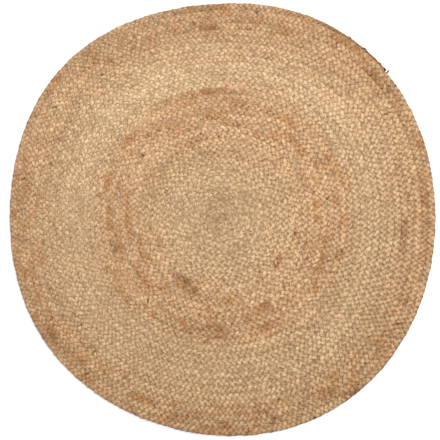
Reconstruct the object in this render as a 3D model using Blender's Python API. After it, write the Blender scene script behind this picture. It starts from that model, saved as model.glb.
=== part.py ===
"""A round rug of jute, made of one long three-strand braid wound in a flat spiral and sewn edge to edge.

The whole rug is one piece, so it is one solid: a low ridge that runs clockwise from the heart to the
rim, with the sewn groove between its turns. It lies on its flat underside, and its outline is as
uneven as a hand-wound rug's. Stitches, strands and loose fibres are finer than this model.
"""

import math

import bmesh
import bpy

# Driving dimensions, in metres. The turns are counted from the heart.
THICKNESS = 0.0095
GROOVE_DEPTH = 0.0022
BRAID_WIDTH_AT_HEART = 0.0211
BRAID_WIDTH_AT_RIM = 0.02415
FIRST_TURN = 0.25  # the braid's blunt start, a quarter turn out from the very centre
TURNS = 33.5
RAYS_PER_TURN = 48

# The braid's outer end, which thins out and is tucked in against the turn before it.
END_DIRECTION = math.radians(41.0)
END_TAPER_TURNS = 0.12
END_WIDTH_SHARE = 0.3

# The rim's rounded outer side, as shares of the last braid's width and of the thickness.
SHOULDER_INSET = 0.12
SHOULDER_HEIGHT = 0.8
EDGE_HEIGHT = 0.5

# How the wound rug departs from a true spiral at its rim. Each row is a wave round the outline:
# what it does; lobes, the number of bulges; height, in metres; towards, one bulge's direction.
WAVES = (
    # what, lobes, height, towards in degrees
    ("off centre", 1, 0.018, -30),
    ("oval", 2, 0.003, 100),
    ("three-cornered", 3, 0.007, 43),
    ("four-cornered", 4, 0.0095, 43),
    ("lumpy", 5, 0.0025, -10),
)
RIM_TRIM = -0.001

JUTE_COLOUR = (0.56, 0.36, 0.19, 1.0)
JUTE_ROUGHNESS = 0.9

LAST_TURN = FIRST_TURN + TURNS
LAST_RAY = round(TURNS * RAYS_PER_TURN)
FIRST_RIM_RAY = LAST_RAY - RAYS_PER_TURN


def clear_scene():
    for obj in list(bpy.data.objects):
        bpy.data.objects.remove(obj, do_unlink=True)


def jute():
    material = bpy.data.materials.new("jute")
    material.use_nodes = True
    shader = material.node_tree.nodes["Principled BSDF"]
    shader.inputs["Base Color"].default_value = JUTE_COLOUR
    shader.inputs["Roughness"].default_value = JUTE_ROUGHNESS
    shader.inputs["Metallic"].default_value = 0.0
    return material


def wound_radius(turn):
    """The braid's outer edge after so many turns of a true spiral whose braid widens steadily."""
    widening = (BRAID_WIDTH_AT_RIM - BRAID_WIDTH_AT_HEART) / (2 * LAST_TURN)
    return turn * (BRAID_WIDTH_AT_HEART + widening * turn)


def smooth(share):
    share = min(max(share, 0.0), 1.0)
    return share * share * (3 - 2 * share)


def edge_radius(turn):
    """The outer edge of the braid, which thins towards its tucked end."""
    inner = wound_radius(max(turn - 1, 0.0))
    thinned = END_WIDTH_SHARE + (1 - END_WIDTH_SHARE) * smooth((LAST_TURN - turn) / END_TAPER_TURNS)
    return inner + (wound_radius(turn) - inner) * thinned


def departure(direction):
    """How far the rim lies outside the true spiral in this direction."""
    waves = (
        height * math.cos(lobes * (direction - math.radians(towards)))
        for _, lobes, height, towards in WAVES
    )
    return RIM_TRIM + sum(waves)


def ray_turn(ray):
    return FIRST_TURN + ray / RAYS_PER_TURN


def ray_direction(ray):
    """The rays go clockwise, and the last one is at the braid's end."""
    return END_DIRECTION + math.tau * (LAST_RAY - ray) / RAYS_PER_TURN


def placed(ray, radius, height):
    """A point on a ray. The rug's uneven shape dies away towards its heart."""
    direction = ray_direction(ray)
    radius += departure(direction) * (radius / wound_radius(LAST_TURN)) ** 2
    return (radius * math.cos(direction), radius * math.sin(direction), height)


def inner_radius(ray):
    if ray < RAYS_PER_TURN:
        return 0.0
    return edge_radius(ray_turn(ray - RAYS_PER_TURN))


def crest(ray):
    middle = (inner_radius(ray) + edge_radius(ray_turn(ray))) / 2
    return placed(ray, middle, THICKNESS)


def groove(ray):
    return placed(ray, edge_radius(ray_turn(ray)), THICKNESS - GROOVE_DEPTH)


def rim(ray, inset, height_share):
    outer = edge_radius(ray_turn(ray))
    inset_width = inset * (outer - inner_radius(ray))
    return placed(ray, outer - inset_width, height_share * THICKNESS)


def outline_middle():
    """The middle of the outline's box, which becomes the rug's origin."""
    edge = [rim(ray, 0.0, EDGE_HEIGHT) for ray in range(FIRST_RIM_RAY, LAST_RAY + 1)]
    return [(min(p[axis] for p in edge) + max(p[axis] for p in edge)) / 2 for axis in (0, 1)]


def wound_mesh():
    """The spiral ridge, lofted from ray to ray, closed by the rim, the braid's end and the underside."""
    bm = bmesh.new()
    rays = range(LAST_RAY + 1)
    rim_rays = range(FIRST_RIM_RAY, LAST_RAY + 1)
    heart = bm.verts.new((0.0, 0.0, THICKNESS - GROOVE_DEPTH))
    crests = {ray: bm.verts.new(crest(ray)) for ray in rays}
    grooves = {ray: bm.verts.new(groove(ray)) for ray in range(FIRST_RIM_RAY + 1)}
    shoulders = {ray: bm.verts.new(rim(ray, SHOULDER_INSET, SHOULDER_HEIGHT)) for ray in rim_rays}
    edges = {ray: bm.verts.new(rim(ray, 0.0, EDGE_HEIGHT)) for ray in rim_rays}
    feet = {ray: bm.verts.new(rim(ray, SHOULDER_INSET, 0.0)) for ray in rim_rays}

    def face(*corners):
        """A face of these corners, which drops one that repeats its neighbour."""
        kept = [v for i, v in enumerate(corners) if v is not corners[i - 1]]
        bm.faces.new(kept)

    def inner(ray):
        return grooves[ray - RAYS_PER_TURN] if ray >= RAYS_PER_TURN else heart

    for ray in range(LAST_RAY):
        after = ray + 1
        face(inner(ray), crests[ray], crests[after], inner(after))
        if ray < FIRST_RIM_RAY:
            face(crests[ray], grooves[ray], grooves[after], crests[after])
            continue
        face(crests[ray], shoulders[ray], shoulders[after], crests[after])
        face(shoulders[ray], edges[ray], edges[after], shoulders[after])
        face(edges[ray], feet[ray], feet[after], edges[after])
    face(heart, grooves[0], crests[0])
    first, last = FIRST_RIM_RAY, LAST_RAY
    end = (crests[first], shoulders[first], edges[first], feet[first])
    face(grooves[first], *end, feet[last], edges[last], shoulders[last], crests[last])
    face(*(feet[ray] for ray in rim_rays))
    bmesh.ops.recalc_face_normals(bm, faces=bm.faces[:])
    mesh = bpy.data.meshes.new("rug")
    bm.to_mesh(mesh)
    bm.free()
    return mesh


def make_rug():
    collection = bpy.data.collections.new("round_jute_rug")
    bpy.context.scene.collection.children.link(collection)
    mesh = wound_mesh()
    middle_x, middle_y = outline_middle()
    for vertex in mesh.vertices:
        vertex.co.x -= middle_x
        vertex.co.y -= middle_y
    mesh.materials.append(jute())
    rug = bpy.data.objects.new("rug", mesh)
    collection.objects.link(rug)
    return rug


clear_scene()
make_rug()
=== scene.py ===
# %% [markdown]
# # A round jute rug
#
# This lesson finishes a braided rug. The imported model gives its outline, its thickness and its place
# on the floor. Here the single low solid is exchanged for what the real rug is: one braid of three
# flat jute strands, wound in a spiral, laced turn to turn, with its outer end tucked in.

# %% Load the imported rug
import math

import bmesh
import bpy
import numpy as np
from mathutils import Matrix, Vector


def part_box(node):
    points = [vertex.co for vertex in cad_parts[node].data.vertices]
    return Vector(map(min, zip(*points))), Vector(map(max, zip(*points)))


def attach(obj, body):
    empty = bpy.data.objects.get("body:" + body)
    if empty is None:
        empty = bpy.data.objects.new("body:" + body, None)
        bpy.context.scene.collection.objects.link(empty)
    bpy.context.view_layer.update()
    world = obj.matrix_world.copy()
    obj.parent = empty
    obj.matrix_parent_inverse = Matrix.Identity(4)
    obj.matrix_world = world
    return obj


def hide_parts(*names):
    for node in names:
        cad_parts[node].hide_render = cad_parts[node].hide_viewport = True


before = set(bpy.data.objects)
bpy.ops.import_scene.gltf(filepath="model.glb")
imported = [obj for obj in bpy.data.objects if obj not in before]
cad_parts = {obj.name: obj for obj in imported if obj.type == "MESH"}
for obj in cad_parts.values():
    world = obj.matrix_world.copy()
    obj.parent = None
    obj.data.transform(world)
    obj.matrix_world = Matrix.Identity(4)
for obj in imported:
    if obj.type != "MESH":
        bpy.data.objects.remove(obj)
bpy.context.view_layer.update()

rug_low, rug_high = (np.array(corner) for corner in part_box("rug"))
rug_size = rug_high - rug_low

# %% [markdown]
# ## The camera
#
# The rug is seen face on from straight above. A long lens some way up keeps the rim as true as the
# heart. The view is a little wider than the rug, which sits slightly to the right of its middle.

# %% Camera
LENS = 100.0
SENSOR = 36.0
VIEW_WIDTH = 1.5206
VIEW_SHIFT = (-0.0086, -0.0017)


def make_camera():
    data = bpy.data.cameras.new("camera")
    data.lens = LENS
    data.sensor_width = SENSOR
    camera = bpy.data.objects.new("camera", data)
    height = VIEW_WIDTH * LENS / SENSOR
    camera.location = (*VIEW_SHIFT, height + float(rug_high[2]))
    bpy.context.scene.collection.objects.link(camera)
    bpy.context.scene.camera = camera
    return camera


camera = make_camera()
print("camera height, m:", round(camera.location.z, 3))

# %% [markdown]
# ## The spiral
#
# A maker starts at the heart and winds the braid clockwise outwards, pressing each turn against the
# one before. A curve modifier could bend a straight braid, but it would shear the tight first turns.
# So the braid's two edges are worked out turn by turn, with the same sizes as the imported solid, and
# every strand is laid between them.

# %% Sizes of the wound braid
BRAID_WIDTH_AT_HEART = 0.0211
BRAID_WIDTH_AT_RIM = 0.02415
FIRST_TURN = 0.25
LAST_TURN = 33.75
RAYS_PER_TURN = 48
END_DIRECTION = math.radians(41.0)
END_TAPER_TURNS = 0.12
END_WIDTH_SHARE = 0.3
RIM_TRIM = -0.001
WAVES = (
    # what, lobes, height, towards in degrees
    ("off centre", 1, 0.018, -30),
    ("oval", 2, 0.003, 100),
    ("three-cornered", 3, 0.007, 43),
    ("four-cornered", 4, 0.0095, 43),
    ("lumpy", 5, 0.0025, -10),
)


def smooth(share):
    """0 below 0 and 1 above 1, with an easy curve between."""
    share = np.clip(share, 0.0, 1.0)
    return share * share * (3 - 2 * share)


def wound_radius(turn):
    """The braid's outer edge after so many turns of a true spiral whose braid widens steadily."""
    widening = (BRAID_WIDTH_AT_RIM - BRAID_WIDTH_AT_HEART) / (2 * LAST_TURN)
    return turn * (BRAID_WIDTH_AT_HEART + widening * turn)


def edge_radius(turn):
    """The braid's outer edge, which thins towards its tucked end."""
    inner = wound_radius(np.maximum(turn - 1, 0.0))
    left = smooth((LAST_TURN - turn) / END_TAPER_TURNS)
    return inner + (wound_radius(turn) - inner) * (END_WIDTH_SHARE + (1 - END_WIDTH_SHARE) * left)


def departure(direction):
    """How far the rim lies outside the true spiral in this direction."""
    waves = (
        height * np.cos(lobes * (direction - math.radians(towards)))
        for _, lobes, height, towards in WAVES
    )
    return RIM_TRIM + sum(waves)


def direction_of(turn):
    """The way from the centre to this place on the braid, in radians anticlockwise from +X."""
    return END_DIRECTION + math.tau * (LAST_TURN - turn)


def wound_point(turn, radius):
    """A point of the flat spiral. The rug's uneven shape dies away towards its heart."""
    direction = direction_of(turn)
    radius = radius + departure(direction) * (radius / wound_radius(LAST_TURN)) ** 2
    return np.stack([radius * np.cos(direction), radius * np.sin(direction)], axis=-1)


rim_turns = np.linspace(LAST_TURN - 1, LAST_TURN, RAYS_PER_TURN + 1)
rim_points = wound_point(rim_turns, edge_radius(rim_turns))
rug_middle = (rim_points.min(axis=0) + rim_points.max(axis=0)) / 2
print("outline, mm:", np.round(np.ptp(rim_points, axis=0) * 1000, 1))

# %% [markdown]
# ## Unevenness
#
# Nothing wound by hand repeats exactly. Nearly every small departure in this lesson, of width,
# height, place or colour, comes from one helper: random values at even steps with a smooth curve
# between them. The seed makes it come out the same each time.

# %% Smooth random values


def uneven(at, step, seed):
    """Smooth random values from -1 to 1 at these places, with a new one every so many metres."""
    places = (at - at.min()) / step
    whole = np.floor(places).astype(int)
    knots = np.random.default_rng(seed).uniform(-1, 1, whole.max() + 2)
    share = smooth(places - whole)
    return knots[whole] * (1 - share) + knots[whole + 1] * share


# %% [markdown]
# ## The braid's path
#
# Each turn shares its inner edge with the turn before, so both wander together and never part. The
# first turn has nothing inside it and fans round the very centre. From the two edges come the middle
# line, the width, the way outward and how far along the braid each step is.

# %% Path of the braid
STEPS_PER_TURN = 720
EDGE_WANDER = 0.0006
EDGE_WANDER_STEP = 0.055  # in turns
FIRST_SHARED_EDGE = 2  # before this turn an inner edge is too near the centre to wander


def braid_path():
    """The braid's turn, middle line, way outward, width and length so far, at each small step."""
    turn = np.arange(FIRST_TURN, LAST_TURN, 1 / STEPS_PER_TURN)
    wander_at = np.arange(FIRST_TURN - 1, LAST_TURN, 1 / STEPS_PER_TURN)
    wander = EDGE_WANDER * uneven(wander_at, EDGE_WANDER_STEP, seed=11)
    outer = edge_radius(turn) + wander[STEPS_PER_TURN:][: len(turn)]
    shared = turn > FIRST_SHARED_EDGE
    inner = edge_radius(np.maximum(turn - 1, 0.0)) + wander[: len(turn)] * shared
    outer_edge = wound_point(turn, outer) - rug_middle
    inner_edge = wound_point(turn, inner) - rug_middle
    middle = (outer_edge + inner_edge) / 2
    forward = np.gradient(middle, axis=0)
    run = np.linalg.norm(forward, axis=1)
    forward = forward / run[:, None]
    return {
        "turn": turn,
        "middle": middle,
        "outward": np.stack([-forward[:, 1], forward[:, 0]], axis=-1),
        "width": np.linalg.norm(outer_edge - inner_edge, axis=1),
        "along": np.cumsum(run) - run[0],
    }


path = braid_path()
braid_length = path["along"][-1]
print("braid length, m:", round(braid_length, 1))

# %% [markdown]
# ## How three strands cross
#
# In a flat braid each strand runs in from one edge over the middle, dives under the strand from the
# other side, comes out at the far edge and returns the same way. Seen from the end it draws a figure
# of eight lying on its side: once across for every twice up and down. The three strands follow each
# other a third of a lay apart, so every lay shows three stitches in each of its two rows. Near the
# heart the maker pulls the braid tight round the bend, so the first stitches are shorter.

# %% Lay of the braid
STITCH_AT_HEART = 0.0216
STITCH_AT_RIM = 0.0185
STITCHES_PER_LAY = 3
FIRST_STITCH_SHARE = 0.6  # of a full stitch, where the braid is pulled tight at the very centre
FULL_STITCH_TURN = 2.5
STITCH_UNEVENNESS = 0.09
SLOW_PULL = 0.31  # metres over which the maker's pull changes
QUICK_PULL = 0.03


def lay_count(path):
    """How many lays the braid has made at each step of its path."""
    out = path["turn"] / LAST_TURN
    full = smooth(path["turn"] / FULL_STITCH_TURN)
    stitch = STITCH_AT_HEART + (STITCH_AT_RIM - STITCH_AT_HEART) * out
    stitch = stitch * (FIRST_STITCH_SHARE + (1 - FIRST_STITCH_SHARE) * full)
    stitch = stitch * (1 + STITCH_UNEVENNESS * uneven(path["along"], SLOW_PULL, seed=12))
    stitch = stitch * (1 + STITCH_UNEVENNESS * uneven(path["along"], QUICK_PULL, seed=13))
    steps = np.gradient(path["along"]) / (STITCHES_PER_LAY * stitch)
    return np.cumsum(steps) - steps[0]


path["lays"] = lay_count(path)
print("lays:", int(path["lays"][-1]), "stitches in a row:", int(path["lays"][-1]) * STITCHES_PER_LAY)

# %% [markdown]
# ## From rings to a mesh
#
# Strands, twine and hairs are all long bundles. A bevelled curve keeps one round section, which is
# wrong for a flat strand, so each bundle is lofted instead: rings of points are joined by quads and
# the two ends are capped. Whole arrays are handed to the mesh at once, because adding so many faces
# one by one is slow.

# %% Mesh of a swept bundle


def swept_faces(tubes, rings, sides):
    """Corner numbers of the quads along the tubes, and of the caps at their two ends."""
    first = np.arange(tubes) * rings * sides
    ring, side = np.meshgrid(np.arange(rings - 1) * sides, np.arange(sides), indexing="ij")
    after = (side + 1) % sides
    corners = [ring + side, ring + after, ring + sides + after, ring + sides + side]
    quads = first[:, None, None] + np.stack(corners, axis=-1).reshape(1, -1, 4)
    start = first[:, None] + np.arange(sides)[::-1]
    end = first[:, None] + np.arange(sides) + (rings - 1) * sides
    return quads.reshape(-1, 4), np.stack([start, end], axis=1).reshape(-1, sides)


def swept_mesh(name, rings):
    """Closed smooth tubes through rings of points, shaped (tubes, rings, sides, 3)."""
    tubes, count, sides = rings.shape[:3]
    quads, caps = swept_faces(tubes, count, sides)
    loops = np.concatenate([quads.ravel(), caps.ravel()])
    sizes = np.concatenate([np.full(len(quads), 4), np.full(len(caps), sides)])
    mesh = bpy.data.meshes.new(name)
    mesh.vertices.add(tubes * count * sides)
    mesh.vertices.foreach_set("co", rings.astype(np.float32).ravel())
    mesh.loops.add(len(loops))
    mesh.loops.foreach_set("vertex_index", loops.astype(np.int32))
    mesh.polygons.add(len(sizes))
    mesh.polygons.foreach_set("loop_start", (np.cumsum(sizes) - sizes).astype(np.int32))
    mesh.update(calc_edges=True)
    mesh.shade_smooth()
    return mesh


def triangles(mesh):
    """How many triangles the mesh comes to."""
    mesh.calc_loop_triangles()
    return len(mesh.loop_triangles)


# %% [markdown]
# ## A strand
#
# A strand is a flat bundle of jute, soft enough to swell where it lies on top and to fold narrow
# where it turns back at an edge. It gets six points round it at each of twelve places in a lay, and
# its width, thickness and roll are set by where it is in its figure of eight.

# %% Course of one strand
THICKNESS = float(rug_size[2])
SAMPLES_PER_LAY = 12
SECTION = (
    # across, up, lean: shares of half the width and half the thickness, and which corners lean out
    (1.0, 0.0, 0.0),
    (0.56, 0.93, 1.0),
    (-0.56, 0.93, 1.0),
    (-1.0, 0.0, 0.0),
    (-0.56, -0.93, 1.0),
    (0.56, -0.93, 1.0),
)
SWING = 0.275  # how far the strand's middle swings to each side, as a share of the braid's width
HALF_WIDTH = 0.348  # half the strand's width, as a share of the braid's width
STRAND_THICKNESS = 0.0049
RISE = (THICKNESS - STRAND_THICKNESS) / 2 - 0.0003
ROLL = math.radians(11)
FLAT_TOP = 0.9  # how long a strand stays up on a crown before it dives
OUTWARD_LEAN = 0.26
END_HEIGHT_SHARE = 0.62
FOLD_NARROWING = 0.1
DIVING_THICKNESS = 0.92  # as a share of the strand's thickness, which is fuller on a crown
CROWN_FULLNESS = 0.12
SLACK = (
    # what, size in metres or as a share of fullness, metres between changes, first seed
    ("side", 0.0009, 0.021, 20),
    ("height", 0.0004, 0.019, 30),
    ("fullness", 0.13, 0.023, 40),
)


def resampled(at, places, pairs):
    """Pairs of numbers, known at these places, read off at others."""
    return np.stack([np.interp(at, places, pairs[:, i]) for i in (0, 1)], -1)


def strand_course(number):
    """Where one strand's middle runs, how it is tilted, and its size at each sample."""
    lays = np.arange(0, path["lays"][-1], 1 / SAMPLES_PER_LAY)
    at = {key: np.interp(lays, path["lays"], path[key]) for key in ("turn", "width", "along")}
    middle = resampled(lays, path["lays"], path["middle"])
    outward = resampled(lays, path["lays"], path["outward"])
    slack = {what: size * uneven(at["along"], step, seed + number) for what, size, step, seed in SLACK}
    angle = math.tau * (lays + number / STITCHES_PER_LAY)
    left = smooth((LAST_TURN - at["turn"]) / END_TAPER_TURNS)
    thin = END_HEIGHT_SHARE + (1 - END_HEIGHT_SHARE) * left
    swing = -np.cos(angle)
    rise = np.tanh(FLAT_TOP * np.sin(2 * angle)) / math.tanh(FLAT_TOP)
    side = SWING * at["width"] * swing + slack["side"]
    height = (THICKNESS / 2 + RISE * rise) * thin + slack["height"]
    line = np.concatenate([middle + side[:, None] * outward, height[:, None]], axis=1)
    fold = 1 - FOLD_NARROWING * swing**2
    fullness = 1 + slack["fullness"]
    swell = DIVING_THICKNESS + CROWN_FULLNESS * np.abs(rise)
    half_width = HALF_WIDTH * at["width"] * fold * fullness
    half_thickness = STRAND_THICKNESS / 2 * thin * swell * fullness
    return {
        **at,
        "line": line,
        "roll": -ROLL * swing * rise,
        "half_width": half_width,
        "half_thickness": half_thickness,
        "swing": swing,
    }


def strand_rings(course):
    """The strand's section at each sample of its course, shaped (samples, sides, 3)."""
    ahead = np.gradient(course["line"], axis=0)
    ahead /= np.linalg.norm(ahead, axis=1)[:, None]
    left = np.cross([0.0, 0.0, 1.0], ahead)
    left /= np.linalg.norm(left, axis=1)[:, None]
    up = np.cross(ahead, left)
    cos, sin = np.cos(course["roll"])[:, None], np.sin(course["roll"])[:, None]
    left, up = left * cos + up * sin, up * cos - left * sin
    lean = OUTWARD_LEAN * course["swing"]
    corners = []
    for across, raised, leans in SECTION:
        sideways = (course["half_width"] * (across + leans * lean))[:, None] * left
        upwards = course["half_thickness"][:, None] * raised * up
        corners.append(course["line"] + sideways + upwards)
    rings = np.stack(corners, axis=1)
    rings[:, :, 2] = np.clip(rings[:, :, 2], 0.0, None)
    return rings


STRANDS = 3
courses = [strand_course(number) for number in range(STRANDS)]
rings_of = [strand_rings(course) for course in courses]
print("samples in a strand:", len(courses[0]["along"]))
print("strand heights, mm:", [np.round(np.ptp(r[:, :, 2]) * 1000, 2) for r in rings_of])

# %% [markdown]
# ## The lots of jute
#
# Jute is not dyed here: its colour comes from the plant and the retting. A braid of nearly eighty
# metres uses many bundles, so the rug changes along its winding, from a dull heart through pale
# beige, a warm brown band and a pale one to a red-brown rim. Short tables say where. A lot belongs to
# the turns, a patch to one stretch of a turn, and each strand then adds bundles of its own.
#
# Straw says how bleached the jute is, from honey at 0 to straw at 1, and russet how much bark-brown
# fibre is in it. Shade is its brightness, and mottle is how unlike each other its bundles are.

# %% Tables of lots and patches
COLUMNS = ("turn", "straw", "russet", "shade", "mottle")
LOTS = (
    # turn, straw, russet, shade, mottle
    (0.0, 0.28, 0.10, 0.62, 0.5),
    (1.0, 0.34, 0.08, 0.67, 0.5),
    (2.0, 0.38, 0.08, 0.73, 0.5),
    (3.5, 0.44, 0.06, 0.77, 0.5),
    (5.0, 0.50, 0.06, 0.79, 0.6),
    (8.5, 0.56, 0.04, 0.82, 0.6),
    (9.7, 0.52, 0.06, 0.88, 0.7),
    (11.0, 0.46, 0.16, 0.88, 1.0),
    (13.0, 0.48, 0.20, 0.93, 1.0),
    (15.5, 0.38, 0.32, 0.94, 1.1),
    (18.0, 0.38, 0.30, 0.95, 1.1),
    (20.0, 0.38, 0.32, 0.93, 1.1),
    (21.0, 0.50, 0.11, 0.86, 0.6),
    (24.0, 0.55, 0.08, 0.82, 0.6),
    (26.0, 0.53, 0.07, 0.86, 0.7),
    (27.5, 0.45, 0.08, 0.85, 0.8),
    (29.0, 0.38, 0.14, 0.85, 1.0),
    (30.5, 0.32, 0.26, 0.90, 1.1),
    (32.0, 0.28, 0.28, 0.86, 1.2),
    (34.0, 0.28, 0.26, 0.83, 1.2),
)
PATCHES = (
    # turn, direction, turns wide, degrees long, straw, russet, shade
    (11.2, 107, 0.5, 6, -0.10, 0.20, 0.80),
    (11.4, 82, 0.5, 5, -0.10, 0.15, 0.80),
    (11.9, 322, 0.6, 8, -0.15, 0.50, 0.76),
    (12.0, 163, 0.5, 5, -0.10, 0.10, 0.84),
    (12.2, 240, 0.6, 9, -0.20, 0.55, 0.74),
    (13.2, 250, 0.5, 5, -0.20, 0.60, 0.70),
    (16.0, 296, 0.5, 3, -0.10, 0.30, 0.80),
    (16.5, 235, 3.6, 60, -0.05, 0.04, 0.96),
    (18.3, 196, 0.6, 4, -0.10, 0.30, 0.76),
    (18.4, 265, 1.3, 8, -0.10, 0.15, 0.87),
    (20.2, 93, 0.6, 20, -0.20, 0.50, 0.96),
    (20.4, 58, 0.5, 6, -0.10, 0.10, 0.85),
    (23.5, 48, 2.6, 20, 0.12, -0.03, 1.03),
    (24.0, 125, 3.0, 45, 0.12, -0.04, 1.05),
    (25.0, 255, 3.4, 40, -0.05, 0.03, 0.98),
    (28.4, -22, 1.1, 30, -0.10, 0.06, 0.93),
    (28.8, -3, 0.7, 3, -0.15, 0.35, 0.78),
    (29.2, 239, 0.4, 1, -0.20, 0.30, 0.50),
    (30.6, 96, 0.7, 6, -0.15, 0.35, 0.80),
    (31.0, 155, 1.5, 16, 0.12, -0.10, 1.10),
    (31.0, 275, 1.2, 26, -0.05, 0.08, 0.94),
    (31.2, 200, 1.4, 22, 0.05, -0.05, 1.06),
    (31.7, 40, 0.8, 5, -0.10, 0.40, 0.84),
    (31.9, 3, 0.7, 5, -0.15, 0.50, 0.84),
    (32.2, 217, 0.7, 4, -0.15, 0.45, 0.78),
    (33.0, 307, 0.6, 3, -0.15, 0.55, 0.74),
)


def lot(turn, name):
    """One column of the table of lots, read off between its rows."""
    table = np.array(LOTS)
    return np.interp(turn, table[:, 0], table[:, COLUMNS.index(name)])


def patch_weight(turn, middle, towards, wide, long):
    """How much of a patch there is at each turn: 1 at its middle, fading at its sides and ends."""
    apart = np.degrees(direction_of(turn)) - towards
    apart = (apart + 180) % 360 - 180
    nearest = np.exp(-((apart / long) ** 2))
    return nearest * np.exp(-(((turn - middle) / wide) ** 2))


print("lots:", len(LOTS), "patches:", len(PATCHES))

# %% [markdown]
# ## The bundles in each strand
#
# The braider feeds in a new bundle every few centimetres, and takes them from a supply that changes
# more slowly. Some changes are one strand's own and some come in all three at once. Each row of two
# more tables is one such change: how much, over how many metres, and whose it is. A patch shows more
# in a strand whose own bundle is red, which breaks it up into separate dark stitches.

# %% Tones of the yarn
STRAW_CHANGES = (
    # size, metres between changes, first seed: each strand's own
    (0.14, 0.9, 50),
    (0.12, 0.16, 53),
    (0.14, 0.05, 56),
)
SHADE_CHANGES = (
    # size at a mottle of 1, metres between changes, seed, 1 if each strand has its own
    (0.06, 0.04, 65, 1),
    (0.04, 0.028, 68, 0),
    (0.06, 0.15, 69, 0),
)
BUNDLE = (0.055, 59)  # metres between changes, seed
SUPPLY = (0.4, 60)
OWN_BUNDLE = (0.05, 62)


def from_none_to_full(along, step, seed):
    """Smooth random values from 0 to 1."""
    return 0.5 + 0.5 * uneven(along, step, seed)


def yarn_tones(course, number):
    """The strand's straw, russet and shade at each sample, from the tables and its own bundles."""
    turn, along = course["turn"], course["along"]
    straw, russet, shade, mottle = (lot(turn, name) for name in COLUMNS[1:])
    bundle = from_none_to_full(along, *BUNDLE)
    supply = from_none_to_full(along, *SUPPLY)
    own = from_none_to_full(along, OWN_BUNDLE[0], OWN_BUNDLE[1] + number)
    russet = russet * (0.1 + 1.9 * bundle**2 + 0.4 * supply + 0.4 * own)
    for size, step, seed in STRAW_CHANGES:
        straw = straw + size * uneven(along, step, seed + number)
    for size, step, seed, is_own in SHADE_CHANGES:
        shade = shade * (1 + size * mottle * uneven(along, step, seed + number * is_own))
    broken = 0.4 + 1.2 * smooth((own - 0.25) / 0.5)
    for *where, more_straw, more_russet, dimmed in PATCHES:
        weight = patch_weight(turn, *where)
        straw = straw + weight * more_straw
        russet = russet + weight * more_russet * broken
        shade = shade * (1 + weight * (dimmed - 1) * broken)
    return np.clip(straw, 0, 1), np.clip(russet, 0, 1), shade


# %% Flecks of bark
FLECKS_PER_METRE = 9
FLECK_LENGTHS = (0.003, 0.007)


def flecks(course, number):
    """Short dark stretches where bark or a knot was spun in, darker ones in a mottled lot."""
    rng = np.random.default_rng(75 + number)
    turn, along = course["turn"], course["along"]
    count = int(along[-1] * FLECKS_PER_METRE)
    places = rng.uniform(0, along[-1], count)
    lengths = rng.uniform(*FLECK_LENGTHS, count)
    mottle = np.interp(places, along, lot(turn, "mottle"))
    depths = rng.uniform(0.0, 1.0, count) ** 2 * mottle
    dark = np.zeros(len(along))
    for place, length, depth in zip(places, lengths, depths):
        dark = np.maximum(dark, depth * np.exp(-(((along - place) / length) ** 2)))
    return dark


tones_of = [yarn_tones(course, number) for number, course in enumerate(courses)]
flecks_of = [flecks(course, number) for number, course in enumerate(courses)]
for number, (tones, dark) in enumerate(zip(tones_of, flecks_of)):
    means = [round(float(tone.mean()), 2) for tone in tones]
    print(f"strand {number + 1} mean straw, russet, shade: {means}, fleck: {dark.mean():.3f}")

# %% [markdown]
# ## What the material needs to know
#
# A material can read numbers stored on the mesh. Each point of a strand keeps its place along the
# yarn and round it, which lets fibres run with the strand wherever it goes, the lot's colours, and
# how much it lies on the crown of a stitch or down in a crevice, which sets its painted shade.
# Unwrapping so many faces is slow, so the flat map for baking is worked out here: a long tube is cut
# into equal rows.

# %% Values kept on the mesh
UV_ROWS = 57
ROW_GAP = 0.03  # left free at each side of a row, as a share of its height
CAP_SIZE = 0.4  # of one step along the row


def keep_values(mesh, name, values):
    """Stores one number, or one vector, for each point of the mesh."""
    kind, field = ("FLOAT", "value") if values.ndim == 1 else ("FLOAT_VECTOR", "vector")
    layer = mesh.attributes.new(name, kind, "POINT")
    layer.data.foreach_set(field, values.astype(np.float32).ravel())


def lay_out_map(mesh, shape, rows):
    """A flat map of long tubes: their length cut into equal rows, laid one above the other."""
    tubes, rings, sides = shape[:3]
    steps = tubes * (rings - 1)
    row_length = math.ceil(steps / rows)
    step, side = np.meshgrid(np.arange(steps), np.arange(sides), indexing="ij")
    left = (step % row_length) / row_length
    low = side / sides
    right, high = left + 1 / row_length, low + 1 / sides
    u = np.stack([left, left, right, right], axis=-1)
    v = np.stack([low, high, high, low], axis=-1)
    v = (step[..., None] // row_length + ROW_GAP + (1 - 2 * ROW_GAP) * v) / rows
    quads = np.stack([u, v], axis=-1)
    ends = np.arange(tubes) * (rings - 1)
    capped = np.stack([ends, ends + rings - 2], axis=1).ravel()
    middle = quads[capped].mean(axis=(1, 2))
    turned = np.arange(sides) * math.tau / sides
    round_cap = CAP_SIZE * np.stack([np.cos(turned) / row_length, np.sin(turned) / rows], axis=-1)
    caps = middle[:, None] + round_cap
    layer = mesh.uv_layers.new(name="OFBake")
    uv = np.concatenate([quads.reshape(-1, 2), caps.reshape(-1, 2)])
    layer.data.foreach_set("uv", uv.astype(np.float32).ravel())


def place_on_yarn(along, round_it, reach, number):
    """A vector whose first number runs along the strand, and whose others go round it."""
    along = np.repeat(along[:, None], len(round_it), axis=1)
    turned = np.broadcast_to(round_it, along.shape)
    vectors = [along, reach * np.cos(turned) + number, reach * np.sin(turned)]
    return np.stack(vectors, axis=-1).reshape(-1, 3)
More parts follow.
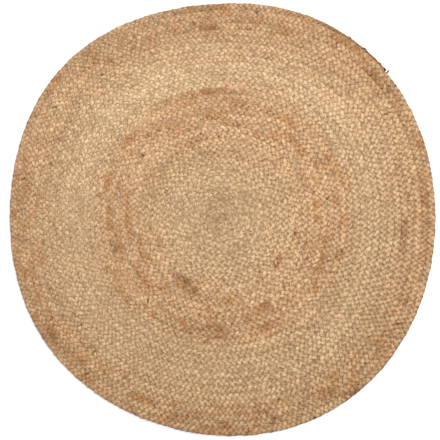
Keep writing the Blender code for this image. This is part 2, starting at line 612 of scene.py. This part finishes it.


# %% [markdown]
# ## Painted shade in the crevices
#
# Besides their relief, the stitches show by painted shade: the colour is darkened where a strand lies
# low, down in the crevices between the crowns. The heart and the pale bands get less of it, even down
# in the crevices. Towards one side of the rug the crevices are painted lighter, so the grooves show
# less there.

# %% The three strands
YARN_REACH = 0.006
# Painted light from one side: the painted crevice shade is lightest towards this direction and deepest
# opposite it, as under a light from that side.
LIGHTER_GROOVES_TOWARDS = math.radians(150)
LIGHTER_GROOVES_FROM = 12  # the turn where that side begins to differ
LIGHTER_GROOVES_WITHIN = 6  # turns over which it comes in
LIGHTER_GROOVES_IN_CREVICES = 0.2
LIGHTER_GROOVES_ON_FOLDS = 0.1
CREVICE_SHADE_LIFT = (
    # turn, painted shade lifted in the crevices, lifted on the folds at the braid's edges; a crown is
    # 1, with no painted shade
    (0, 0.6, 0.62),
    (7, 0.52, 0.62),
    (12, 0.2, 0.68),
    (20, 0.2, 0.68),
    (24, 0.35, 0.7),
    (28, 0.1, 0.64),
    (34, 0.0, 0.62),
)


def shade_lift(course):
    """How much of the painted crevice shade is lifted where a strand isn't on a crown, more towards
    the side the painted light comes from.
    """
    turns, crevices, folds = zip(*CREVICE_SHADE_LIFT)
    turn = course["turn"]
    reached = smooth((turn - LIGHTER_GROOVES_FROM) / LIGHTER_GROOVES_WITHIN)
    towards_light_side = np.cos(direction_of(turn) - LIGHTER_GROOVES_TOWARDS) * reached
    crevice_lift = np.interp(turn, turns, crevices) + LIGHTER_GROOVES_IN_CREVICES * (1 + towards_light_side) / 2
    fold_lift = np.interp(turn, turns, folds) + LIGHTER_GROOVES_ON_FOLDS * towards_light_side
    return np.maximum(crevice_lift, fold_lift * course["swing"] ** 2)


def make_strand(number):
    course, rings = courses[number], rings_of[number]
    name = f"strand_{number + 1}"
    mesh = swept_mesh(name, rings[None])
    sides = len(SECTION)
    round_it = np.array([math.atan2(up, across) for across, up, _ in SECTION])
    yarn = place_on_yarn(course["along"], round_it, YARN_REACH, number)
    keep_values(mesh, "yarn", yarn)
    for key, values in zip(("straw", "russet", "shade"), tones_of[number]):
        keep_values(mesh, key, np.repeat(values, sides))
    keep_values(mesh, "fleck", np.repeat(flecks_of[number], sides))
    # Painted shade: the material darkens points near the strand's mid height, down in the crevices;
    # the lift table keeps some of it off.
    away = np.abs(rings[:, :, 2] - THICKNESS / 2) / (THICKNESS / 2)
    away = np.maximum(away, shade_lift(course)[:, None])
    keep_values(mesh, "crown", away.ravel())
    lay_out_map(mesh, rings[None].shape, UV_ROWS)
    strand = bpy.data.objects.new(name, mesh)
    bpy.context.scene.collection.objects.link(strand)
    print(name, "triangles:", triangles(mesh))
    return strand


strands = [make_strand(number) for number in range(STRANDS)]

# %% [markdown]
# ## The lacing
#
# The turns are held together by a thin twine that goes to and fro between them, down in the groove.
# It shows only as a fine line. It could be a curve with a bevel, but one mesh with four sides is
# lighter, and its path comes from the same edges as the braid's.

# %% Rings round a line
NEARLY_UP = np.array([0.0, 0.02, 1.0])  # tilted, so that no line runs straight along it


def round_rings(line, radius, sides):
    """Rings round lines of points, shaped (..., points, 3), with one radius or one for each point."""
    ahead = np.gradient(line, axis=-2)
    ahead = ahead / np.linalg.norm(ahead, axis=-1, keepdims=True)
    left = np.cross(NEARLY_UP, ahead)
    left = left / np.linalg.norm(left, axis=-1, keepdims=True)
    up = np.cross(ahead, left)
    radius = np.broadcast_to(radius, line.shape[:-1])[..., None]
    turns = (side * math.tau / sides for side in range(sides))
    points = [line + radius * (math.cos(turn) * left + math.sin(turn) * up) for turn in turns]
    return np.stack(points, axis=-2)


# %% Lacing twine between the turns
TWINE_RADIUS = 0.0012
TWINE_SIDES = 4
LACING_STITCH = 0.018
POINTS_PER_STITCH = 4
LACING_START_TURNS = 1.1  # from the braid's start; nearer the centre it is too tight to lace
LACING_REACH = 0.0019
LACING_HEIGHT = 0.0067
LACING_BOB = 0.0007
LACING_UNEVENNESS = 0.3


def lacing_line():
    """Where the twine runs: to and fro over the groove outside each turn but the last."""
    laced = slice(int(STEPS_PER_TURN * LACING_START_TURNS), -STEPS_PER_TURN)
    edge = (path["middle"] + path["outward"] * path["width"][:, None] / 2)[laced]
    along = path["along"][laced]
    at = np.arange(along[0], along[-1], LACING_STITCH / POINTS_PER_STITCH)
    edge = resampled(at, along, edge)
    outward = resampled(at, along, path["outward"][laced])
    phase = np.arange(len(at)) * math.tau / POINTS_PER_STITCH
    side = LACING_REACH * np.sin(phase) * (1 + LACING_UNEVENNESS * uneven(at, 0.05, seed=81))
    height = LACING_HEIGHT + LACING_BOB * np.cos(2 * phase) + 0.0003 * uneven(at, 0.04, seed=82)
    return at, np.concatenate([edge + side[:, None] * outward, height[:, None]], axis=1)


def make_lacing():
    at, line = lacing_line()
    rings = round_rings(line, TWINE_RADIUS, TWINE_SIDES)[None]
    mesh = swept_mesh("lacing", rings)
    turned = np.arange(TWINE_SIDES) * math.tau / TWINE_SIDES
    keep_values(mesh, "yarn", place_on_yarn(at, turned, TWINE_RADIUS, 5))
    lay_out_map(mesh, rings.shape, UV_ROWS)
    lacing = bpy.data.objects.new("lacing", mesh)
    bpy.context.scene.collection.objects.link(lacing)
    print("lacing triangles:", triangles(mesh), "length, m:", round(at[-1] - at[0], 1))
    return lacing


lacing = make_lacing()

# %% [markdown]
# ## The tucked end
#
# The braid thins out over its last stretch, is whipped round with a few turns of dark twine and is
# caught down with some long stitches along the rim. A short tuft of the twine is left over. The
# whipping is a helix round the flat end, and each stitch is a short arc that dips in at both ends.

# %% Whipping, rim stitches and tuft
DARK_TWINE_RADIUS = 0.0013
DARK_TWINE_SIDES = 8
DARK_TWINE_TAPER = 0.35
WHIPPING_TURNS = 4
WHIPPING_POINTS_PER_TURN = 10
WHIPPING_LENGTH = 0.009
WHIPPING_REACH = 0.56  # to each side, as a share of the thinned braid's width
RIM_STITCHES = (
    # direction in degrees, length, how far out of the rim
    (54.2, 0.014, 0.0010),
    (49.2, 0.020, 0.0012),
    (43.8, 0.012, 0.0010),
    (38.2, 0.012, 0.0008),
    (36.9, 0.010, 0.0010),
)
STITCH_DIP = 0.0024  # how far inside the rim a stitch ends
STITCH_HEIGHT = 0.66  # as a share of the rug's thickness
STITCH_DROP = 0.22
TUFT_AHEAD = 0.008  # past the end of the braid, on the rim of the turn before it
TUFT_ROOT = -0.005
TUFT_HEIGHT = 0.0045
TUFT_TURNED = -0.4
TUFT_BEND = 0.5
TUFT = (
    # turned in degrees, length, lift: how each yarn of the tuft leaves the rim
    (12, 0.018, 0.002),
    (22, 0.015, 0.003),
    (2, 0.013, 0.001),
)
TWINE_POINTS = 13


def path_at(turn):
    """The middle line's place, its way outward and its width at this turn."""
    middle = np.array([np.interp(turn, path["turn"], path["middle"][:, i]) for i in (0, 1)])
    outward = np.array([np.interp(turn, path["turn"], path["outward"][:, i]) for i in (0, 1)])
    return middle, outward, float(np.interp(turn, path["turn"], path["width"]))


def whipping_line():
    """A helix round the last few millimetres of the flat end."""
    middle, outward, width = path_at(LAST_TURN)
    forward = np.array([outward[1], -outward[0]])
    share = np.linspace(0, 1, WHIPPING_TURNS * WHIPPING_POINTS_PER_TURN + 1)
    angle = share * WHIPPING_TURNS * math.tau
    back = (share - 1) * WHIPPING_LENGTH
    half_height = END_HEIGHT_SHARE * THICKNESS / 2
    flat = middle + back[:, None] * forward
    flat = flat + (width * WHIPPING_REACH * np.cos(angle))[:, None] * outward
    height = half_height + DARK_TWINE_RADIUS + (half_height - 0.0004) * np.sin(angle)
    return np.concatenate([flat, height[:, None]], axis=1)


def rim_stitch_line(direction, length, out):
    """A stitch along the rim, whose two ends dip into the braid."""
    turn = LAST_TURN - ((math.radians(direction) - END_DIRECTION) / math.tau) % 1
    if direction < math.degrees(END_DIRECTION):
        turn = LAST_TURN - 1 + (END_DIRECTION - math.radians(direction)) / math.tau
    share = np.linspace(-1, 1, TWINE_POINTS)
    reach = wound_radius(LAST_TURN)
    turns = turn + share * length / 2 / (math.tau * reach)
    edge = wound_point(turns, edge_radius(turns) + out - STITCH_DIP * share**2) - rug_middle
    height = THICKNESS * (STITCH_HEIGHT - STITCH_DROP * share**4)
    return np.concatenate([edge, height[:, None]], axis=1)


def tuft_line(turned, length, lift):
    """One yarn of the tuft, rooted inside the rim just past the braid's end."""
    middle, outward, _ = path_at(LAST_TURN)
    onward = np.array([outward[1], -outward[0]])
    start = middle + outward * TUFT_ROOT + onward * TUFT_AHEAD
    turned = math.atan2(outward[1], outward[0]) + math.radians(turned) + TUFT_TURNED
    share = np.linspace(0, 1, TWINE_POINTS)
    bent = turned + TUFT_BEND * share
    run = np.stack([np.cos(bent), np.sin(bent)], axis=-1) * (length / (TWINE_POINTS - 1))
    flat = start + np.cumsum(run, axis=0) - run[0]
    height = TUFT_HEIGHT + lift * share * (2 - share) / 2
    return np.concatenate([flat, height[:, None]], axis=1)


def joined_tubes(name, lines, radii, sides):
    """One mesh of several tubes of any length."""
    collected = bmesh.new()
    for line, radius in zip(lines, radii):
        tube = swept_mesh(name, round_rings(line, radius, sides)[None])
        collected.from_mesh(tube)
        bpy.data.meshes.remove(tube)
    mesh = bpy.data.meshes.new(name)
    collected.to_mesh(mesh)
    collected.free()
    return mesh


def make_end_twine():
    lines = [whipping_line()]
    lines += [rim_stitch_line(*row) for row in RIM_STITCHES]
    lines += [tuft_line(*row) for row in TUFT]
    shares = [np.linspace(0, 1, len(line)) for line in lines]
    radii = [DARK_TWINE_RADIUS * (1 - DARK_TWINE_TAPER * share**3) for share in shares]
    mesh = joined_tubes("end_twine", lines, radii, DARK_TWINE_SIDES)
    end_twine = bpy.data.objects.new("end_twine", mesh)
    bpy.context.scene.collection.objects.link(end_twine)
    print("end twine triangles:", triangles(mesh))
    return end_twine


end_twine = make_end_twine()

# %% [markdown]
# ## Loose fibres
#
# Jute sheds: short stiff hairs stand off every strand, most of them lying nearly along it. A hair
# system would do, but its settings bend the hairs all alike. Here each hair is a tapered tube of
# five rings that starts on a strand's own surface, leaves at a small angle and curls.

# %% Loose fibres
HAIRS = 6600
HAIR_RINGS = 5
HAIR_SIDES = 3
HAIR_ROWS = 100
HAIR_RADIUS = 0.00014
HAIR_TAPER = 0.7
HAIR_ROOT_DEPTH = 0.0001
HAIR_LENGTHS = (0.006, 0.024)
HAIR_LIFTS = (0.0003, 0.0028)
HAIR_SPREAD = 0.45  # in radians, to either side of the strand's own way
HAIR_CURL = 0.0016
SIDE_SHARES = [0.15, 0.35, 0.35, 0.15]  # hairs on the outer edge, the two top corners, the inner edge


def hair_rings():
    """The rings of every hair, shaped (hairs, rings, sides, 3)."""
    rng = np.random.default_rng(90)
    share = np.linspace(0, 1, HAIR_RINGS)[None, :, None]
    lines = []
    for number, rings in enumerate(rings_of):
        count = HAIRS // STRANDS
        sample = rng.integers(20, len(rings) - 20, count)
        side = rng.choice([0, 1, 2, 3], count, p=SIDE_SHARES)
        start = (rings[sample, side] + rings[sample, (side + 1) % len(SECTION)] * 0.6) / 1.6
        on_edge = (side == 0) | (side == 3)
        start = np.where(on_edge[:, None], rings[sample, side], start)
        ahead = courses[number]["line"][sample + 1] - courses[number]["line"][sample]
        ahead /= np.linalg.norm(ahead, axis=1)[:, None]
        way = rng.choice([-1.0, 1.0], count)
        turned = rng.normal(0, HAIR_SPREAD, count)
        heading = np.arctan2(ahead[:, 1] * way, ahead[:, 0] * way) + turned
        length = rng.uniform(*HAIR_LENGTHS, count)
        lift = rng.uniform(*HAIR_LIFTS, count)
        curl = rng.normal(0, HAIR_CURL, count)
        run = np.stack([np.cos(heading), np.sin(heading), 0 * heading], axis=-1)
        across = np.stack([-np.sin(heading), np.cos(heading), 0 * heading], axis=-1)
        line = start[:, None] + share * (run * length[:, None])[:, None]
        line = line + share**2 * (across * curl[:, None])[:, None]
        height = share * (1.6 - share) * lift[:, None, None] - HAIR_ROOT_DEPTH
        lines.append(line + np.array([0, 0, 1.0]) * height)
    line = np.concatenate(lines)
    radius = HAIR_RADIUS * (1 - HAIR_TAPER * np.linspace(0, 1, HAIR_RINGS))
    return round_rings(line, radius[None], HAIR_SIDES)


def make_hairs():
    rings = hair_rings()
    mesh = swept_mesh("loose_fibres", rings)
    tone = np.random.default_rng(91).uniform(0, 1, len(rings))
    keep_values(mesh, "tone", np.repeat(tone, HAIR_RINGS * HAIR_SIDES))
    lay_out_map(mesh, rings.shape, HAIR_ROWS)
    hairs = bpy.data.objects.new("loose_fibres", mesh)
    bpy.context.scene.collection.objects.link(hairs)
    print("loose fibres:", len(rings), "triangles:", triangles(mesh))
    return hairs


hairs = make_hairs()

# %% [markdown]
# ## Shader sums
#
# A material is a web of nodes. Written node by node it is long and hard to read, so one small class
# wraps a socket: a sum or a product of two of them adds the Math node that works it out, and any
# other node comes from its method `node`.

# %% The class for shader sums


class Wire:
    """A node's output that can be added, taken away and multiplied."""

    def __init__(self, tree, socket=None):
        self.tree = tree
        self.socket = socket

    def node(self, kind, settings=None, sockets=None, output=0):
        """Adds a node, sets its settings first, and then gives its sockets values or links."""
        node = self.tree.nodes.new(kind)
        for name, value in (settings or {}).items():
            setattr(node, name, value)
        for name, value in (sockets or {}).items():
            if isinstance(value, Wire):
                self.tree.links.new(value.socket, node.inputs[name])
            else:
                node.inputs[name].default_value = value
        return Wire(self.tree, node.outputs[output])

    def sum(self, operation, first, second):
        return self.node("ShaderNodeMath", {"operation": operation}, {0: first, 1: second})

    def __add__(self, other):
        return self.sum("ADD", self, other)

    __radd__ = __add__

    def __sub__(self, other):
        return self.sum("SUBTRACT", self, other)

    def __rsub__(self, other):
        return self.sum("SUBTRACT", other, self)

    def __mul__(self, other):
        return self.sum("MULTIPLY", self, other)

    __rmul__ = __mul__

    def within(self, low, high):
        """0 below low and 1 above high, smooth between."""
        sockets = {"Value": self, "From Min": low, "From Max": high}
        return self.node("ShaderNodeMapRange", {"interpolation_type": "SMOOTHSTEP"}, sockets)

    def blend(self, first, second):
        """The first colour where this is 0, and the second where it is 1."""
        sockets = {0: self, 6: first, 7: second}
        return self.node("ShaderNodeMix", {"data_type": "RGBA"}, sockets, output=2)

    def feed(self, shader, name):
        """Links this to one of the shader's own sockets."""
        self.tree.links.new(self.socket, shader.inputs[name])


# %% Helpers for materials


def linear(code):
    """A colour written as in a paint chart, turned into the light it reflects."""
    parts = (int(code[i : i + 2], 16) / 255 for i in (0, 2, 4))
    return (*(p / 12.92 if p <= 0.04045 else ((p + 0.055) / 1.055) ** 2.4 for p in parts), 1.0)


def start_material(name):
    """A new material, its shader, and the wire that adds nodes to it."""
    material = bpy.data.materials.new(name)
    material.use_nodes = True
    shader = material.node_tree.nodes["Principled BSDF"]
    return material, shader, Wire(material.node_tree)


def value_of(tree, name, output="Fac"):
    """The number, or the vector, kept on the mesh under this name."""
    return tree.node("ShaderNodeAttribute", {"attribute_name": name}, output=output)


def fibre_noise(tree, yarn, along, across, detail=2.0):
    """Noise drawn out along the yarn: so many cells a metre along it and across it."""
    sockets = {0: yarn, 1: (along, across, across)}
    scaled = tree.node("ShaderNodeVectorMath", {"operation": "MULTIPLY"}, sockets)
    return tree.node("ShaderNodeTexNoise", {}, {"Vector": scaled, "Scale": 1.0, "Detail": detail})


def place_noise(tree, scale, detail=2.0):
    """Noise by place on the rug, whichever strand is there."""
    place = tree.node("ShaderNodeTexCoord", output=3)
    return tree.node("ShaderNodeTexNoise", {}, {"Vector": place, "Scale": scale, "Detail": detail})


def bump(tree, height, strength, distance):
    sockets = {"Height": height, "Strength": strength, "Distance": distance}
    return tree.node("ShaderNodeBump", {}, sockets)


# %% [markdown]
# ## The jute
#
# Jute is a dry, coarse fibre with a faint silky sheen. Close up, a strand is many thin fibres lying
# side by side, some bleached, some brown. They are stretched noise read along the yarn, at four
# sizes: fine fibres, bundles of them, the rovings that they are spun into, and strokes, the short
# lengths that catch the light on one stitch. The lots come from the values kept on the mesh. Red
# fibre drifts in and out over a few centimetres of the rug. Dark bark flecks come from those values
# too, and the crevices get painted shade: the colour is darkened where a strand lies low.

# %% Jute material
STRAW = linear("D9B991")
HONEY = linear("C39E77")
RUSSET = linear("B48457")
BARK = linear("6A4226")
PAINTED_CREVICE_SHADE = (0.38, 0.29, 0.16)  # how much of each colour the painted shade in the crevices leaves


def jute_colour(tree, noises):
    """The fibre's own colour: straw or honey, with russet and bark in it."""
    fine, bundles, drift = noises["fine"], noises["bundles"], noises["drift"]
    straw = value_of(tree, "straw")
    straw = (straw + (bundles - 0.5) * 0.6 + (fine - 0.5) * 0.6).within(0.0, 1.0)
    straw = (straw + (drift - 0.5) * 0.6).within(0.0, 1.0)
    clouds = fibre_noise(tree, noises["yarn"], 30, 60)
    russet = value_of(tree, "russet") * (0.35 + 1.3 * drift.within(0.3, 0.7))
    russet = (russet + (clouds - 0.5) * 0.3).within(0.03, 0.97)
    colour = straw.blend(HONEY, STRAW)
    colour = russet.blend(colour, RUSSET)
    bark = (value_of(tree, "fleck") * (0.2 + 1.4 * bundles)).within(0.2, 1.0)
    return bark.blend(colour, BARK)


def shaded_colour(tree, colour, noises):
    """The colour with painted shade in the crevices, darker where a strand lies low, then scaled by
    the lot's brightness and the strokes.
    """
    strokes = noises["strokes"]
    grain = 0.4 * noises["fine"].within(0.3, 0.7) + 0.3 * noises["rovings"].within(0.36, 0.64)
    grain = grain + 0.3 * strokes
    # Painted shade: where a strand lies low, in a crevice, its colour is darkened, broken up by the
    # fibre grain.
    unshaded = value_of(tree, "crown").within(0.25, 0.88) * (0.3 + 1.15 * grain)
    crevice_shaded = tree.node("ShaderNodeVectorMath", {"operation": "MULTIPLY"}, {0: colour, 1: PAINTED_CREVICE_SHADE})
    colour = unshaded.blend(crevice_shaded, colour)
    tone = value_of(tree, "shade") * (0.79 + 0.35 * strokes.within(0.34, 0.56))
    return tree.node("ShaderNodeVectorMath", {"operation": "SCALE"}, {0: colour, "Scale": tone})


def jute_material():
    material, shader, tree = start_material("jute_strands")
    yarn = value_of(tree, "yarn", "Vector")
    noises = {
        "yarn": yarn,
        "fine": fibre_noise(tree, yarn, 60, 1500, detail=4.0),
        "bundles": fibre_noise(tree, yarn, 26, 480),
        "rovings": fibre_noise(tree, yarn, 28, 180, detail=1.0),
        "strokes": fibre_noise(tree, yarn, 110, 300, detail=0.0),
        "drift": place_noise(tree, 28.0),
    }
    shaded_colour(tree, jute_colour(tree, noises), noises).feed(shader, "Base Color")
    (0.72 + 0.2 * noises["bundles"]).feed(shader, "Roughness")
    relief = noises["rovings"] * 1.2 + noises["bundles"] * 0.5 + noises["fine"] * 0.3
    bump(tree, relief, 0.8, 0.0012).feed(shader, "Normal")
    shader.inputs["Specular IOR Level"].default_value = 0.25
    shader.inputs["Sheen Weight"].default_value = 0.15
    shader.inputs["Sheen Roughness"].default_value = 0.5
    return material


jute = jute_material()
for strand in strands:
    strand.data.materials.append(jute)
print("strands in:", jute.name, "nodes:", len(jute.node_tree.nodes))

# %% [markdown]
# ## Twine and hairs
#
# The lacing is spun of the same jute, only harder. The end's twine is nearly black, rough, and lies
# every way round the braid, so its fibres are read by place and not along it. A hair has no detail
# that could be seen: each one is a single tone, from brown to straw.

# %% Twine and hair materials
LACING_TONES = (linear("A07A52"), linear("C9A77E"))
DARK_TWINE_TONES = (linear("2E2219"), linear("584230"))
HAIR_TONES = (linear("9C7244"), linear("E3C79B"))


def lacing_material():
    material, shader, tree = start_material("lacing_twine")
    fine = fibre_noise(tree, value_of(tree, "yarn", "Vector"), 300, 2500)
    fine.within(0.3, 0.7).blend(*LACING_TONES).feed(shader, "Base Color")
    (0.75 + 0.15 * fine).feed(shader, "Roughness")
    shader.inputs["Specular IOR Level"].default_value = 0.2
    return material


def dark_twine_material():
    material, shader, tree = start_material("dark_twine")
    fine = place_noise(tree, 900.0, detail=3.0)
    fine.within(0.35, 0.7).blend(*DARK_TWINE_TONES).feed(shader, "Base Color")
    bump(tree, fine, 0.5, 0.0006).feed(shader, "Normal")
    (0.7 + 0.2 * fine).feed(shader, "Roughness")
    shader.inputs["Specular IOR Level"].default_value = 0.2
    return material


def hair_material():
    material, shader, tree = start_material("loose_fibre")
    tone = value_of(tree, "tone")
    tone.within(0.1, 0.9).blend(*HAIR_TONES).feed(shader, "Base Color")
    (0.5 + 0.2 * tone).feed(shader, "Roughness")
    shader.inputs["Specular IOR Level"].default_value = 0.3
    return material


lacing.data.materials.append(lacing_material())
end_twine.data.materials.append(dark_twine_material())
hairs.data.materials.append(hair_material())
print("other materials:", [piece.data.materials[0].name for piece in (lacing, end_twine, hairs)])

# %% [markdown]
# ## Floor
#
# The studio is as plain as it can be. One large pale plane is enough for the floor. It lies a hair's
# breadth below the rug, so that the two never share a surface.

# %% Floor
FLOOR_HALF_SIDE = 8.0
FLOOR_GAP = 0.0002
FLOOR_GREY = 0.88


def make_floor():
    mesh = bpy.data.meshes.new("floor")
    reach = FLOOR_HALF_SIDE
    corners = [(-reach, -reach, 0), (reach, -reach, 0), (reach, reach, 0), (-reach, reach, 0)]
    mesh.from_pydata(corners, [], [(0, 1, 2, 3)])
    material, shader, tree = start_material("pale_floor")
    (0.6 + 0.1 * place_noise(tree, 1.5)).feed(shader, "Roughness")
    shader.inputs["Base Color"].default_value = (FLOOR_GREY, FLOOR_GREY, FLOOR_GREY, 1.0)
    mesh.materials.append(material)
    floor = bpy.data.objects.new("floor", mesh)
    floor.location.z = float(rug_low[2]) - FLOOR_GAP
    bpy.context.scene.collection.objects.link(floor)
    return floor


floor = make_floor()
print("floor height, mm:", round(floor.location.z * 1000, 1))

# %% [markdown]
# ## Light
#
# A wide soft light hangs overhead, and a smaller one stands slightly to one side, so that every
# stitch has a light and a dark flank. An even fill comes from all round, with hardly any warmth.

# %% Lights
LIGHTS = (
    # name, place, side, power in watts
    ("key", (1.6, 2.2, 3.2), 1.6, 120.0),
    ("overhead", (-0.6, -0.4, 5.0), 4.0, 130.0),
)
FILL = 0.55
FILL_COLOUR = (1.0, 0.99, 0.98, 1.0)


def make_lights():
    for name, place, side, power in LIGHTS:
        data = bpy.data.lights.new(name, "AREA")
        data.shape = "SQUARE"
        data.size = side
        data.energy = power
        light = bpy.data.objects.new(name, data)
        light.location = place
        aim = floor.location - light.location
        light.rotation_euler = aim.to_track_quat("-Z", "Y").to_euler()
        bpy.context.scene.collection.objects.link(light)
    world = bpy.data.worlds.new("studio")
    world.use_nodes = True
    background = world.node_tree.nodes["Background"]
    background.inputs["Color"].default_value = FILL_COLOUR
    background.inputs["Strength"].default_value = FILL
    bpy.context.scene.world = world


make_lights()
bpy.context.scene.view_settings.view_transform = "Standard"
print("lights:", [row[0] for row in LIGHTS], "fill:", FILL)

# %% [markdown]
# ## Attaching the pieces
#
# Every piece rides on the rug's one body and stands for the imported solid, which is hidden. The
# rug's flat area comes from the rim's corners, by the shoelace rule.

pieces = [*strands, lacing, end_twine, hairs]
for piece in pieces:
    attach(piece, "root")
    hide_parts("rug")

corners = rim_points[:-1]
next_corners = np.roll(corners, -1, axis=0)
rug_area = abs(np.cross(corners, next_corners).sum()) / 2
print("flat area, m2:", round(rug_area, 3))
